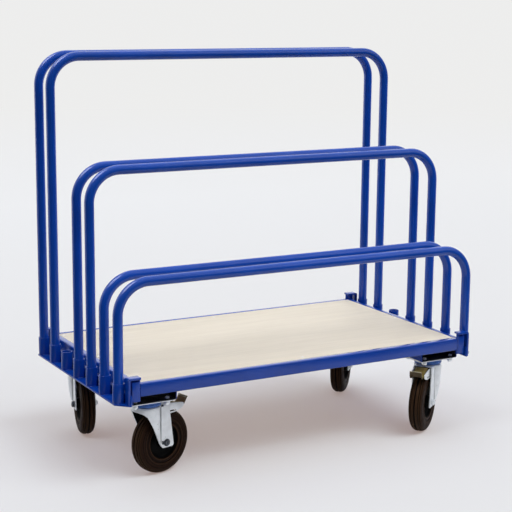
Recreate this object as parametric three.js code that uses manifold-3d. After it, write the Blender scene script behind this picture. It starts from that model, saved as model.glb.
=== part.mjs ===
// Sheet goods cart: a low plywood deck on four swivel casters, with removable tube hoops
// that stand in sockets along both ends and keep boards upright between them.
// Millimetres, +Z up, X along the deck, front at -Y, origin on the floor under the deck's middle.
import * as THREE from "three";
import { mergeVertices } from "three/addons/utils/BufferGeometryUtils.js";
import Module from "manifold-3d";

// Row of hoop slots, which sets the deck's width
const slotPitch = 102;
const slotCount = 7;
const slotMargin = 36;

// Deck frame and panel
const deckLength = 1190;
const railHeight = 40;
const railFlange = 20;
const railShelf = 40;
const railSheet = 3;
const panelThickness = 18;
const panelGap = 0.5;

// Corner posts: strips folded double, open towards the cart's ends
const postOverhang = 8;
const postProud = 2;
const postDepth = 12;
const postSheet = 3;
const postRise = 15;
const postFrontRise = 8;
const postDrop = 15;

// End ledges, which carry the sockets, and the hooks that hold them on the posts
const ledgeGap = 12;
const ledgeSheet = 5;
const ledgeUpright = 33;
const ledgeDrop = 23;
const ledgeOverrun = 10;
const ledgeChamfer = 32;
const shelfLip = 0.6;
const hookWidth = 27;
const hookSheet = 6;
const hookInset = 2;
const hookLap = 1;
const hookReach = 30;

// Hoops and sockets
const tubeDiameter = 30;
const tubeWall = 2;
const tubeSides = 12;
const boreSides = 6;
const bendRadius = 97;
const bendSteps = 5;
const socketClearance = 0.5;
const socketWall = 2.2;
const socketHeight = 58;
const tallRise = 921;
const mediumRise = 597;
const lowRise = 295;
const hoops = [
  { name: "hoop_low_front", slot: 0, rise: lowRise },
  { name: "hoop_low_rear", slot: 1, rise: lowRise },
  { name: "hoop_medium_front", slot: 2, rise: mediumRise },
  { name: "hoop_medium_rear", slot: 3, rise: mediumRise },
  { name: "hoop_tall_front", slot: 5, rise: tallRise },
  { name: "hoop_tall_rear", slot: 6, rise: tallRise },
];

// Cross channels under the frame
const channelWidth = 145;
const channelDepth = 30;
const channelSheet = 3;
const channelSetback = 75;
const channelEndGap = 22;

// Casters
const wheelRadius = 100;
const wheelWidth = 46;
const treadRound = 18;
const treadRoundSteps = 3;
const tyreDepth = 34;
const rimDepth = 8;
const webThickness = 12;
const hubRadius = 21;
const hubOverhang = 6;
const axleRadius = 6;
const axleHead = 8;
const axleHeadRadius = 10.5;
const trail = 52;
const casterInset = 84;
const plateLength = 140;
const plateWidth = 110;
const plateThickness = 5;
const plateCorner = 10;
const boltPitchX = 105;
const boltPitchY = 80;
const boltHole = 11;
const headRadius = 46;
const headHeight = 18;
const headStep = 9;
const headNeckInset = 3;
const crownRadius = 46;
const crownSheet = 6;
const crownGap = 15.7;
const kingpinRadius = 8;
const kingpinHeadRadius = 14;
const kingpinHead = 5;
const forkSheet = 4;
const webSkirt = 8;
const webTurn = 18;
const legBackTop = 14;
const legBackFoot = 28;
const legDrop = 15;
const legCorner = 8;
const wheelSegments = 24;
const cornerSegments = 3;
const sweepSegments = 5;
const runningGap = 0.3;
const boreGap = 0.6;

// Brakes on the front casters
const brakeArmReach = 79;
const brakeArmTop = 9;
const brakeArmRoot = 27;
const brakeArmTip = 10;
const brakePivotReach = 32;
const brakePivotDrop = 16;
const brakePinRadius = 4;
const pedalWidth = 40;
const pedalSheet = 3;
const pedalHeelBack = 14;
const pedalHeelRise = 21.5;
const pedalReach = 45;
const pedalFoldRise = 3;
const pedalTipOut = 14;
const pedalTipRise = 22;
const pedalEar = 5;
const pedalEarFront = 8;

// Direction from each swivel axis to its wheel, in degrees from +X
const casters = [
  { name: "front_left", side: -1, end: -1, heading: 13.9, braked: true },
  { name: "front_right", side: -1, end: 1, heading: 217.8, braked: true },
  { name: "rear_left", side: 1, end: -1, heading: 257.9, braked: false },
  { name: "rear_right", side: 1, end: 1, heading: 226, braked: false },
];

// Levels and places that follow from the sizes above
const deckWidth = (slotCount - 1) * slotPitch + 2 * slotMargin;
const crownUnder = 2 * wheelRadius + crownGap;
const crownTop = crownUnder + crownSheet;
const headUnder = crownTop + runningGap;
const plateUnder = headUnder + headHeight;
const channelUnder = plateUnder + plateThickness;
const frameUnder = channelUnder + channelDepth;
const deckTop = frameUnder + railHeight;
const panelUnder = deckTop - panelThickness;
const endX = deckLength / 2;
const sideY = deckWidth / 2;
const postOuterX = endX + postOverhang;
const postInnerX = endX - railFlange;
const postTop = deckTop + postRise;
const postFrontY = sideY + postProud;
const postBackY = postFrontY - postDepth;
const ledgeInnerX = endX + ledgeGap;
const ledgeOuterX = ledgeInnerX + ledgeSheet;
const ledgeUnder = frameUnder - ledgeDrop;
const ledgeEndY = sideY + ledgeOverrun;
const tubeRadius = tubeDiameter / 2;
const socketBore = tubeRadius + socketClearance;
const socketRadius = socketBore + socketWall;
const hoopX = ledgeOuterX + runningGap + socketRadius;
const shelfOuterX = hoopX + socketRadius + shelfLip;
const shelfTop = ledgeUnder + ledgeSheet;
const channelX = endX - channelSetback;
const channelHalf = channelWidth / 2;
const channelLength = deckWidth - 2 * channelEndGap;
const casterY = sideY - casterInset;
const hubHalf = wheelWidth / 2 + hubOverhang;
const forkInner = hubHalf + runningGap;
const forkOuter = forkInner + forkSheet;
const forkFoot = wheelRadius - legDrop;
const creaseX = Math.sqrt((crownRadius - forkSheet) ** 2 - forkInner ** 2);
const slotY = (slot) => (slot - (slotCount - 1) / 2) * slotPitch;
const facet = Math.PI / wheelSegments;
const facetSpread = 1 / Math.cos(facet);

// Finishes
const finish = (color, roughness, metalness) =>
  new THREE.MeshStandardMaterial({ color, roughness, metalness });
const bluePaint = finish(0x1f3f98, 0.35, 0);
const plywood = finish(0xe4dbcc, 0.6, 0);
const zinc = finish(0xbec8cd, 0.4, 1);
const blueRing = finish(0x3a5f9e, 0.4, 0.2);
const rubber = finish(0x2a211d, 0.75, 0);
const blackPlastic = finish(0x121212, 0.5, 0);
const oliveZinc = finish(0x8a7a3c, 0.45, 0.8);

const wasm = await Module();
wasm.setup();

// Closed three.js geometry to a solid that can be joined and cut
function solid(geometry) {
  const plain = geometry.clone();
  plain.deleteAttribute("normal");
  plain.deleteAttribute("uv");
  const merged = mergeVertices(plain, 1e-4);
  return new wasm.Manifold(
    new wasm.Mesh({
      numProp: 3,
      vertProperties: merged.attributes.position.array,
      triVerts: new Uint32Array(merged.index.array),
    }),
  );
}

function geometryOf(body) {
  const mesh = body.getMesh();
  const geometry = new THREE.BufferGeometry();
  geometry.setAttribute("position", new THREE.BufferAttribute(mesh.vertProperties, 3));
  geometry.setIndex(new THREE.BufferAttribute(mesh.triVerts, 1));
  return geometry.toNonIndexed();
}

const join = (...geometries) =>
  geometryOf(geometries.map(solid).reduce((whole, next) => whole.add(next)));
const cut = (geometry, ...tools) =>
  geometryOf(tools.map(solid).reduce((whole, tool) => whole.subtract(tool), solid(geometry)));
const common = (first, second) => geometryOf(solid(first).intersect(solid(second)));

const outline = (points) => new THREE.Shape(points.map(([x, y]) => new THREE.Vector2(x, y)));
const prism = (shape, depth, curveSegments = cornerSegments) =>
  new THREE.ExtrudeGeometry(shape, { depth, bevelEnabled: false, curveSegments });

// A flat plate in XY that stands from one height to another
const plate = (shape, from, to, curveSegments) =>
  prism(shape, to - from, curveSegments).translate(0, 0, from);

// A section given in X and Z, carried along Y from one place to another
const alongY = (shape, from, to, curveSegments) =>
  prism(shape, to - from, curveSegments)
    .applyMatrix4(new THREE.Matrix4().makeRotationX(Math.PI / 2))
    .translate(0, to, 0);

// A section given in Y and Z, carried along X, centred on the middle
function alongX(shape, length) {
  const [x, y, z] = [0, 1, 2].map((axis) => new THREE.Vector3().setComponent(axis, 1));
  return prism(shape, length)
    .translate(0, 0, -length / 2)
    .applyMatrix4(new THREE.Matrix4().makeBasis(y, z, x));
}

function box(x, y, z) {
  const size = [x, y, z].map(([from, to]) => to - from);
  const middle = [x, y, z].map(([from, to]) => (from + to) / 2);
  return new THREE.BoxGeometry(...size).translate(...middle);
}

const span = (a, b) => [Math.min(a, b), Math.max(a, b)];

function roundedRectangle(halfX, halfY, radius) {
  const shape = new THREE.Shape();
  const [x, y] = [halfX - radius, halfY - radius];
  shape.absarc(x, y, radius, 0, Math.PI / 2);
  shape.absarc(-x, y, radius, Math.PI / 2, Math.PI);
  shape.absarc(-x, -y, radius, Math.PI, 1.5 * Math.PI);
  shape.absarc(x, -y, radius, 1.5 * Math.PI, 2 * Math.PI);
  return shape;
}

// Corners of a regular polygon whose corners lie on the circle
const ring = (radius, sides) =>
  Array.from({ length: sides }, (_, i) => {
    const angle = (2 * Math.PI * i) / sides;
    return [radius * Math.cos(angle), radius * Math.sin(angle)];
  });

function tubeSection(outer, outerSides, inner, innerSides) {
  const shape = outline(ring(outer, outerSides));
  shape.holes.push(outline(ring(inner, innerSides)));
  return shape;
}

const cart = new THREE.Group();

function add(name, geometry, material, parent = cart) {
  const mesh = new THREE.Mesh(geometry, material);
  mesh.name = name;
  parent.add(mesh);
  return mesh;
}

// Rail of the deck frame: an outer leg, a flange at the top that borders the panel, and a shelf
// below. The section's first coordinate runs inwards from the rail's outer face.
// A full section also has a wider shelf, with an inner leg that the panel rests on.
function railSection(face, inwards, full) {
  const at = (depth, z) => [face + inwards * depth, z];
  const shelf = full
    ? [
        at(railShelf, frameUnder),
        at(railShelf, panelUnder),
        at(railShelf - railSheet, panelUnder),
        at(railShelf - railSheet, frameUnder + railSheet),
      ]
    : [at(railFlange, frameUnder), at(railFlange, frameUnder + railSheet)];
  return outline([
    at(0, frameUnder),
    ...shelf,
    at(railSheet, frameUnder + railSheet),
    at(railSheet, deckTop - railSheet),
    at(railFlange, deckTop - railSheet),
    at(railFlange, deckTop),
    at(0, deckTop),
  ]);
}

// The side rails stop at the posts, and the end rails' inner legs stop at the side rails' shelves
function addFrame() {
  const sideLength = 2 * postInnerX;
  const between = sideY - railShelf;
  const endRail = (end) =>
    join(
      alongY(railSection(end * endX, -end, true), -between, between),
      alongY(railSection(end * endX, -end, false), -postBackY, postBackY),
    );
  add("front_rail", alongX(railSection(-sideY, 1, true), sideLength), bluePaint);
  add("rear_rail", alongX(railSection(sideY, -1, true), sideLength), bluePaint);
  add("left_end_rail", endRail(-1), bluePaint);
  add("right_end_rail", endRail(1), bluePaint);
}

// Plywood panel, level with the rails' flanges
function addDeckPanel() {
  const x = endX - railFlange - panelGap;
  const y = sideY - railFlange - panelGap;
  add("deck_panel", box([-x, x], [-y, y], [panelUnder, deckTop]), plywood);
}

// Corner post: a strip folded double, open outboard. Its front wall stands lower than its back wall.
function addPost(name, end, side) {
  const bend = postDepth / 2;
  const [x, y] = [postInnerX + bend, postFrontY - bend];
  const shape = new THREE.Shape();
  shape.moveTo(postOuterX, postFrontY);
  shape.absarc(x, y, bend, Math.PI / 2, 1.5 * Math.PI);
  shape.lineTo(postOuterX, postBackY);
  shape.lineTo(postOuterX, postBackY + postSheet);
  shape.absarc(x, y, bend - postSheet, 1.5 * Math.PI, Math.PI / 2, true);
  shape.lineTo(postOuterX, postFrontY - postSheet);
  const frontTop = box(
    [x, postOuterX + postOverhang],
    [y, postFrontY + postProud],
    [deckTop + postFrontRise, postTop + postRise],
  );
  const folded = plate(shape, frameUnder - postDrop, postTop);
  const mesh = add(name, cut(folded, frontTop), bluePaint);
  mesh.scale.set(end, side, 1);
}

// Angle along the cart's end: a low upright and a shelf under the sockets, with the shelf's two
// free corners cut off. Near each end of it stands a hook, whose arm lies on the post's top.
function addLedge(name, end) {
  const upright = box(
    span(end * ledgeInnerX, end * ledgeOuterX),
    [-ledgeEndY, ledgeEndY],
    [ledgeUnder, ledgeUnder + ledgeUpright],
  );
  const shelf = outline([
    [end * ledgeInnerX, -ledgeEndY],
    [end * ledgeOuterX, -ledgeEndY],
    [end * shelfOuterX, -ledgeEndY + ledgeChamfer],
    [end * shelfOuterX, ledgeEndY - ledgeChamfer],
    [end * ledgeOuterX, ledgeEndY],
    [end * ledgeInnerX, ledgeEndY],
  ]);
  const hookBack = ledgeOuterX - hookLap;
  const hookOuterY = ledgeEndY - hookInset;
  const hooks = [-1, 1].flatMap((side) => {
    const wide = span(side * (hookOuterY - hookWidth), side * hookOuterY);
    const top = postTop + hookSheet;
    return [
      box(span(end * hookBack, end * (hookBack + hookSheet)), wide, [ledgeUnder, top]),
      box(span(end * (ledgeInnerX - hookReach), end * (hookBack + hookSheet)), wide, [postTop, top]),
    ];
  });
  add(name, join(upright, plate(shelf, ledgeUnder, shelfTop), ...hooks), bluePaint);
}

function addSockets(end, label) {
  const section = tubeSection(socketRadius, tubeSides, socketBore, tubeSides);
  for (let slot = 0; slot < slotCount; slot++) {
    const socket = add(
      `socket_${label}_${slot + 1}`,
      plate(section, shelfTop, shelfTop + socketHeight),
      bluePaint,
    );
    socket.position.set(end * hoopX, slotY(slot), 0);
  }
}

// Path through given stations, so that the tube's steps fall on the ends of its bends
class StationPath extends THREE.Curve {
  constructor(stations) {
    super();
    this.stations = stations;
  }
  at(u) {
    return this.stations[Math.round(u * (this.stations.length - 1))];
  }
  getPointAt(u) {
    return this.at(u).point.clone();
  }
  getTangentAt(u) {
    return this.at(u).tangent.clone();
  }
}

// Hoop: up one leg, round a bend, across the top and down the other leg into its socket
function addHoop({ name, slot, rise }) {
  const top = deckTop + rise;
  const station = (x, z, angle) => ({
    point: new THREE.Vector3(x, 0, z),
    tangent: new THREE.Vector3(Math.cos(angle), 0, Math.sin(angle)),
  });
  const bend = (end, from) =>
    Array.from({ length: bendSteps + 1 }, (_, i) => {
      const turn = from - (i * Math.PI) / 2 / bendSteps;
      const x = end * (hoopX - bendRadius) + bendRadius * Math.cos(turn);
      const z = top - bendRadius + bendRadius * Math.sin(turn);
      return station(x, z, turn - Math.PI / 2);
    });
  const path = new StationPath([
    station(-hoopX, shelfTop, Math.PI / 2),
    ...bend(-1, Math.PI),
    ...bend(1, Math.PI / 2),
    station(hoopX, shelfTop, -Math.PI / 2),
  ]);
  const section = tubeSection(tubeRadius, tubeSides, tubeRadius - tubeWall, boreSides);
  const steps = path.stations.length - 1;
  const hoop = add(
    name,
    new THREE.ExtrudeGeometry(section, { steps, extrudePath: path }),
    bluePaint,
  );
  hoop.position.y = slotY(slot);
}

// Shallow channel across the cart, open upwards, that the casters bolt under
function addCrossChannel(name, end) {
  const shape = outline([
    [-channelHalf, channelUnder],
    [channelHalf, channelUnder],
    [channelHalf, frameUnder],
    [channelHalf - channelSheet, frameUnder],
    [channelHalf - channelSheet, channelUnder + channelSheet],
    [-channelHalf + channelSheet, channelUnder + channelSheet],
    [-channelHalf + channelSheet, frameUnder],
    [-channelHalf, frameUnder],
  ]);
  const channel = add(name, alongY(shape, -channelLength / 2, channelLength / 2), bluePaint);
  channel.position.x = end * channelX;
}

// Full turn of a profile, given as radius and place along the Y axis
const turnedOnAxle = (points, segments, start = 0) =>
  new THREE.LatheGeometry(
    points.map(([radius, y]) => new THREE.Vector2(radius, y)),
    segments,
    start,
  );

// The same about the Z axis
const turned = (points, segments) => turnedOnAxle(points, segments).rotateX(Math.PI / 2);

// Top plate with its four bolt holes and the kingpin that the fork hangs on
function topPlateGeometry() {
  const shape = roundedRectangle(plateLength / 2, plateWidth / 2, plateCorner);
  for (const x of [-boltPitchX / 2, boltPitchX / 2])
    for (const y of [-boltPitchY / 2, boltPitchY / 2])
      shape.holes.push(
        outline(ring(boltHole / 2, boreSides).map(([dx, dy]) => [x + dx, y + dy])),
      );
  const headTop = crownUnder - runningGap;
  const kingpin = turned(
    [
      [0, headTop - kingpinHead],
      [kingpinHeadRadius, headTop - kingpinHead],
      [kingpinHeadRadius, headTop],
      [kingpinRadius, headTop],
      [kingpinRadius, plateUnder + plateThickness / 2],
      [0, plateUnder + plateThickness / 2],
    ],
    tubeSides,
  );
  return join(plate(shape, plateUnder, channelUnder), kingpin);
}

// Swivel head ring between the plate and the fork's crown, stepped in to a narrower neck
function swivelRingGeometry() {
  const bore = kingpinRadius + boreGap;
  const step = headUnder + headStep;
  const neck = headRadius - headNeckInset;
  return turned(
    [
      [bore, headUnder],
      [headRadius, headUnder],
      [headRadius, step],
      [neck, step],
      [neck, plateUnder],
      [bore, plateUnder],
      [bore, headUnder],
    ],
    wheelSegments,
  );
}

// Web of the fork in X and Z, ahead of the crease: its lower edge sweeps up to the crown's front
function forkWebShape() {
  const skirt = crownUnder - webSkirt;
  const front = -crownRadius - forkSheet;
  const shape = new THREE.Shape();
  shape.moveTo(front, crownTop);
  shape.lineTo(front, skirt);
  shape.lineTo(-crownRadius, skirt);
  shape.quadraticCurveTo(webTurn - crownRadius, skirt, creaseX, forkFoot + legCorner);
  shape.lineTo(creaseX, crownTop);
  return shape;
}

// Leg of the fork in X and Z, behind the crease, with a trailing edge that leans back to its foot.
// A braked leg also carries the arm beside the pedal.
function forkLegShape(braked) {
  const front = creaseX - forkSheet / 2;
  const back = trail + legBackFoot;
  const backTop = trail + legBackTop;
  const shape = new THREE.Shape();
  shape.moveTo(front, crownTop);
  shape.absarc(front + legCorner, forkFoot + legCorner, legCorner, Math.PI, 1.5 * Math.PI);
  shape.absarc(back - legCorner, forkFoot + legCorner, legCorner, 1.5 * Math.PI, 2 * Math.PI);
  const armTop = crownUnder - brakeArmTop;
  if (braked) {
    shape.lineTo(backTop, armTop - brakeArmRoot);
    shape.lineTo(trail + brakeArmReach, armTop - brakeArmTip);
    shape.lineTo(trail + brakeArmReach, armTop);
    shape.lineTo(backTop, armTop);
  }
  shape.lineTo(backTop, crownTop);
  return shape;
}

// Pressed fork: a round crown whose wall runs down as a web on both sides and ends in flat legs
function forkGeometry(braked) {
  const crownTube = tubeSection(
    crownRadius,
    wheelSegments,
    crownRadius - forkSheet,
    wheelSegments,
  );
  const reach = crownRadius + forkSheet;
  const web = common(
    plate(crownTube, forkFoot, crownTop),
    alongY(forkWebShape(), -reach, reach, sweepSegments),
  );
  const leg = forkLegShape(braked);
  const whole = join(
    plate(outline(ring(crownRadius, wheelSegments)), crownUnder, crownTop),
    box([0, trail + legBackTop], [-forkOuter, forkOuter], [crownUnder, crownTop]),
    web,
    alongY(leg, forkInner, forkOuter, sweepSegments),
    alongY(leg, -forkOuter, -forkInner, sweepSegments),
  );
  const bore = (radius, length) => new THREE.CylinderGeometry(radius, radius, length, tubeSides);
  return cut(
    whole,
    bore(axleRadius + boreGap, 4 * forkOuter).translate(trail, 0, wheelRadius),
    bore(kingpinRadius + boreGap, 4 * crownSheet)
      .rotateX(Math.PI / 2)
      .translate(0, 0, crownTop),
  );
}

// Tyre section: rounded tread corners and a flat bore on the rim.
// Its facets lie at the wheel's radius, and one of them is at the bottom, on the floor.
function tyreGeometry() {
  const half = wheelWidth / 2;
  const inner = wheelRadius - tyreDepth;
  const corner = (side) =>
    Array.from({ length: treadRoundSteps + 1 }, (_, i) => {
      const angle = (i * Math.PI) / 2 / treadRoundSteps;
      const radius = wheelRadius - treadRound + treadRound * Math.sin(angle);
      return [radius, side * (half - treadRound + treadRound * Math.cos(angle))];
    });
  const section = [
    [inner, -half],
    ...corner(-1),
    ...corner(1).reverse(),
    [inner, half],
    [inner, -half],
  ];
  const spread = section.map(([radius, y]) => [radius * facetSpread, y]);
  return turnedOnAxle(spread, wheelSegments, facet);
}

// Wheel centre: rim, recessed web and a hub that is wider than the tyre
function wheelCentreGeometry() {
  const half = wheelWidth / 2;
  const rim = (wheelRadius - tyreDepth) * facetSpread - runningGap;
  const well = rim - rimDepth;
  const web = webThickness / 2;
  const bore = axleRadius + boreGap;
  const face = (side) => [
    [bore, side * hubHalf],
    [hubRadius, side * hubHalf],
    [hubRadius, side * web],
    [well, side * web],
    [well, side * half],
    [rim, side * half],
  ];
  const section = [...face(-1), ...face(1).reverse(), [bore, -hubHalf]];
  return turnedOnAxle(section, wheelSegments, facet);
}

// Axle bolt with a hexagon head at one end and its nut at the other
function axleGeometry() {
  const seat = forkOuter + runningGap;
  const end = seat + axleHead;
  const hexagon = 6;
  const head = (from, to) =>
    new THREE.CylinderGeometry(axleHeadRadius, axleHeadRadius, to - from, hexagon)
      .translate(0, (from + to) / 2, 0);
  const shaft = new THREE.CylinderGeometry(
    axleRadius,
    axleRadius,
    seat + end,
    tubeSides,
  );
  return join(shaft, head(seat, end), head(-end, -seat));
}

// Brake pedal: a folded plate that slopes down between the arms and turns up at its end,
// hung on a pin by two ears
function pedalGeometry() {
  const pivot = { x: trail + brakePivotReach, z: crownUnder - brakePivotDrop };
  const heel = { x: pivot.x - pedalHeelBack, z: pivot.z + pedalHeelRise };
  const fold = { x: pivot.x + pedalReach, z: pivot.z + pedalFoldRise };
  const tip = { x: fold.x + pedalTipOut, z: fold.z + pedalTipRise };
  const t = pedalSheet;
  const half = pedalWidth / 2;
  const tread = outline([
    [heel.x, heel.z],
    [heel.x, heel.z - t],
    [fold.x, fold.z - t],
    [tip.x + t, tip.z],
    [tip.x, tip.z + t / 2],
    [fold.x - t / 2, fold.z],
  ]);
  const slope = (fold.z - heel.z) / (fold.x - heel.x);
  const earFront = pivot.x + pedalEarFront;
  const ear = outline([
    [heel.x, heel.z - t / 2],
    [pivot.x - brakePinRadius, pivot.z],
    [pivot.x + brakePinRadius, pivot.z],
    [earFront, heel.z + slope * (earFront - heel.x) - t / 2],
  ]);
  const pinHalf = forkInner - runningGap;
  const pin = new THREE.CylinderGeometry(
    brakePinRadius,
    brakePinRadius,
    2 * pinHalf,
    tubeSides,
  ).translate(pivot.x, 0, pivot.z);
  return join(
    alongY(tread, -half, half),
    alongY(ear, half - pedalEar, half),
    alongY(ear, -half, pedalEar - half),
    pin,
  );
}

function addCaster({ name, side, end, heading, braked }) {
  const mounting = new THREE.Group();
  mounting.position.set(end * channelX, side * casterY, 0);
  cart.add(mounting);
  add(`${name}_top_plate`, topPlateGeometry(), zinc, mounting);
  add(`${name}_swivel_ring`, swivelRingGeometry(), blueRing, mounting);
  const swivel = new THREE.Group();
  swivel.rotation.z = THREE.MathUtils.degToRad(heading);
  mounting.add(swivel);
  add(`${name}_fork`, forkGeometry(braked), zinc, swivel);
  if (braked) add(`${name}_brake_pedal`, pedalGeometry(), oliveZinc, swivel);
  const wheel = new THREE.Group();
  wheel.position.set(trail, 0, wheelRadius);
  swivel.add(wheel);
  add(`${name}_tyre`, tyreGeometry(), rubber, wheel);
  add(`${name}_wheel_centre`, wheelCentreGeometry(), blackPlastic, wheel);
  add(`${name}_axle`, axleGeometry(), zinc, wheel);
}

addFrame();
addDeckPanel();
for (const [sideName, side] of [["front", -1], ["rear", 1]])
  for (const [endName, end] of [["left", -1], ["right", 1]])
    addPost(`${sideName}_${endName}_post`, end, side);
for (const [label, end] of [["left", -1], ["right", 1]]) {
  addLedge(`${label}_ledge`, end);
  addSockets(end, label);
  addCrossChannel(`${label}_cross_channel`, end);
}
hoops.forEach(addHoop);
casters.forEach(addCaster);

export default cart;
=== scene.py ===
"""Looks of a sheet goods cart, built around its packed CAD frame.

The frame is in metres, with +Z up, X along the deck and the front at -Y. Places and sizes inside
the modelling code are in millimetres, and mm() turns them into metres.
"""

import math

import bmesh
import bpy
from mathutils import Matrix, Vector


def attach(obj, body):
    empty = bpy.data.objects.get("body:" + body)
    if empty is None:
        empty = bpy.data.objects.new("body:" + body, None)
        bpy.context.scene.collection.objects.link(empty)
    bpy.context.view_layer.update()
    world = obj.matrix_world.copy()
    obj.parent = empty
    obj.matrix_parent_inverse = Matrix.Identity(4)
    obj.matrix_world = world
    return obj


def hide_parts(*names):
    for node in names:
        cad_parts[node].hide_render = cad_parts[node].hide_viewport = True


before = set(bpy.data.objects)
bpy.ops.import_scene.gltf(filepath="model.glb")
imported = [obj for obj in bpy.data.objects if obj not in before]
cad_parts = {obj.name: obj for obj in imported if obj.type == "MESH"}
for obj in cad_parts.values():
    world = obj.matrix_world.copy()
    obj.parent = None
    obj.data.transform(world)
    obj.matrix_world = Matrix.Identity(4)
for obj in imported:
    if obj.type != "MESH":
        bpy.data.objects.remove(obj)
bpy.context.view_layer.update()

bl_info = {
    "name": "Sheet Goods Cart",
    "version": (1, 0, 0),
    "blender": (4, 5, 0),
    "location": "View3D > Sidebar > Cart",
    "description": "Models a sheet goods cart with hoops, sockets and swivel casters on its frame",
    "category": "Object",
}

MM = 0.001
ENDS = {"left": -1, "right": 1}
SIDES = {"front": -1, "rear": 1}

# Deck frame
END_X, SIDE_Y = 595, 342
FRAME_UNDER, DECK_TOP = 275, 315
RAIL_FLANGE, RAIL_SHELF, RAIL_SHEET, RAIL_BEND = 20, 40, 3, 4.5
PANEL_UNDER, PANEL_GAP = 297, 0.5

# Posts, ledges and hooks
POST_IN, POST_OUT, POST_FACE, POST_DEPTH = 575, 603, 344, 12
POST_FOOT, POST_LIP, POST_TOP, POST_SHEET = 262.5, 323, 330, 3
LEDGE_IN, LEDGE_OUT, SHELF_OUT = 607, 612, 648.3
LEDGE_UNDER, SHELF_TOP, LEDGE_TOP = 252, 257, 285
LEDGE_END, LEDGE_CHAMFER = 352, 32
HOOK_IN, HOOK_BACK, HOOK_OUT = 577, 611, 617
HOOK_NEAR, HOOK_FAR, HOOK_TOP = 323, 350, 336

# Hoops and sockets
HOOP_X, TUBE_RADIUS, TUBE_WALL, BEND_RADIUS = 630, 15, 2, 97
SOCKET_RADIUS, SOCKET_BORE, SOCKET_TOP = 17.7, 15.5, 315
SLOT_PITCH = 102
HOOP_TOPS = {"low": 610, "medium": 912, "tall": 1236}
HOOP_SLOTS = {
    "low_front": -3,
    "low_rear": -2,
    "medium_front": -1,
    "medium_rear": 0,
    "tall_front": 2,
    "tall_rear": 3,
}

# Channels and casters
CHANNEL_X, CHANNEL_HALF, CHANNEL_END = 520, 72.5, 320
CHANNEL_UNDER, CHANNEL_SHEET = 245, 3
PLATE_UNDER, PLATE_HALF_X, PLATE_HALF_Y, PLATE_CORNER = 240, 70, 55, 10
BOLT_X, BOLT_Y, BOLT_OUTWARD = 52.5, 46, 4
BOLT_HEAD = 6
CASTER_X, CASTER_Y = 520, 258
TRAIL, AXLE_Z = 52, 100
CASTERS = {
    "front_left": (-1, -1, 13.9, True),
    "front_right": (1, -1, 217.8, True),
    "rear_left": (-1, 1, 257.9, False),
    "rear_right": (1, 1, 226.0, False),
}
PEDAL_REACH = 145.6
PEDAL_LIPS = {"front_left": 3, "front_right": 9}
# Where the painted crease shade begins on each fork, as a place along the caster
CREASE_SHADE_START = {"front_left": 24.5, "front_right": 28.5, "rear_left": 26, "rear_right": 26}
NUT_HEIGHTS = {"front_left": 2.6, "front_right": 6.8, "rear_left": 6.8, "rear_right": 6.8}


def mm(*values):
    return Vector([value * MM for value in values])


# Modelling tools


def clear_selection():
    if bpy.context.mode != "OBJECT":
        bpy.ops.object.mode_set(mode="OBJECT")
    bpy.ops.object.select_all(action="DESELECT")


def take(*pieces):
    """Select these pieces only, the first one active."""
    clear_selection()
    for piece in pieces:
        piece.select_set(True)
    bpy.context.view_layer.objects.active = pieces[0]


def start(name, primitive, scale=(1, 1, 1), **settings):
    """Add a primitive and put its place, turn and scale into its mesh."""
    clear_selection()
    getattr(bpy.ops.mesh, f"primitive_{primitive}_add")(**settings)
    piece = bpy.context.object
    piece.name = piece.data.name = name
    piece.scale = scale
    bpy.ops.object.transform_apply(location=True, rotation=True, scale=True)
    return piece


def block(name, x, y, z):
    """A block between pairs of millimetres."""
    middle = mm(*[(low + high) / 2 for low, high in (x, y, z)])
    size = mm(*[abs(high - low) for low, high in (x, y, z)])
    return start(name, "cube", scale=size, size=1, location=middle)


def panel(name, x, y, z):
    """A flat panel between pairs of millimetres, of which one pair is a single value."""
    middle = mm(*[(low + high) / 2 for low, high in (x, y, z)])
    size = mm(*[abs(high - low) for low, high in (x, y, z)])
    flat = min(range(3), key=lambda axis: size[axis])
    turn = [(0, math.pi / 2, 0), (math.pi / 2, 0, 0), (0, 0, 0)][flat]
    scale = [(size.z, size.y, 1), (size.x, size.z, 1), (size.x, size.y, 1)][flat]
    return start(name, "plane", scale=scale, size=1, location=middle, rotation=turn)


def drum(name, radius, low, high, at=(0, 0), sides=32):
    """An upright cylinder between two heights."""
    place = mm(*at, (low + high) / 2)
    return start(
        name, "cylinder", vertices=sides, radius=radius * MM, depth=(high - low) * MM, location=place
    )


def sheet(name, rows):
    """A grid whose points are put at the given rows of places."""
    across, along = len(rows[0]), len(rows)
    piece = start(name, "grid", x_subdivisions=across - 1, y_subdivisions=along - 1, size=1)
    places = [point for row in rows for point in row]
    for vertex, place in zip(piece.data.vertices, places, strict=True):
        vertex.co = mm(*place)
    return piece


def turned(name, section, steps, middle=(0, 0, 0), axis=(0, 0, 1), angle=2 * math.pi):
    """A closed section of (radius, along) pairs, spun about an axis, Y or Z."""
    piece = start(name, "circle", vertices=len(section), radius=MM)
    for vertex, (radius, along) in zip(piece.data.vertices, section, strict=True):
        place = (radius, along, 0) if axis[1] else (radius, 0, along)
        vertex.co = mm(*place) + mm(*middle)
    with Edit(piece) as edit:
        edit.pick_all()
        edit.spin(angle, middle, axis, steps)
        edit.close_up()
        bpy.ops.mesh.delete_loose()
    return piece


def on(**planes):
    """Test for points, edges and faces that lie on the given planes."""

    def test(element):
        corners = [element] if isinstance(element, bmesh.types.BMVert) else element.verts
        return all(
            abs(corner.co["xyz".index(axis)] / MM - value) < 0.05
            for corner in corners
            for axis, value in planes.items()
        )

    return test


def either(*tests):
    return lambda element: any(test(element) for test in tests)


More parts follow.
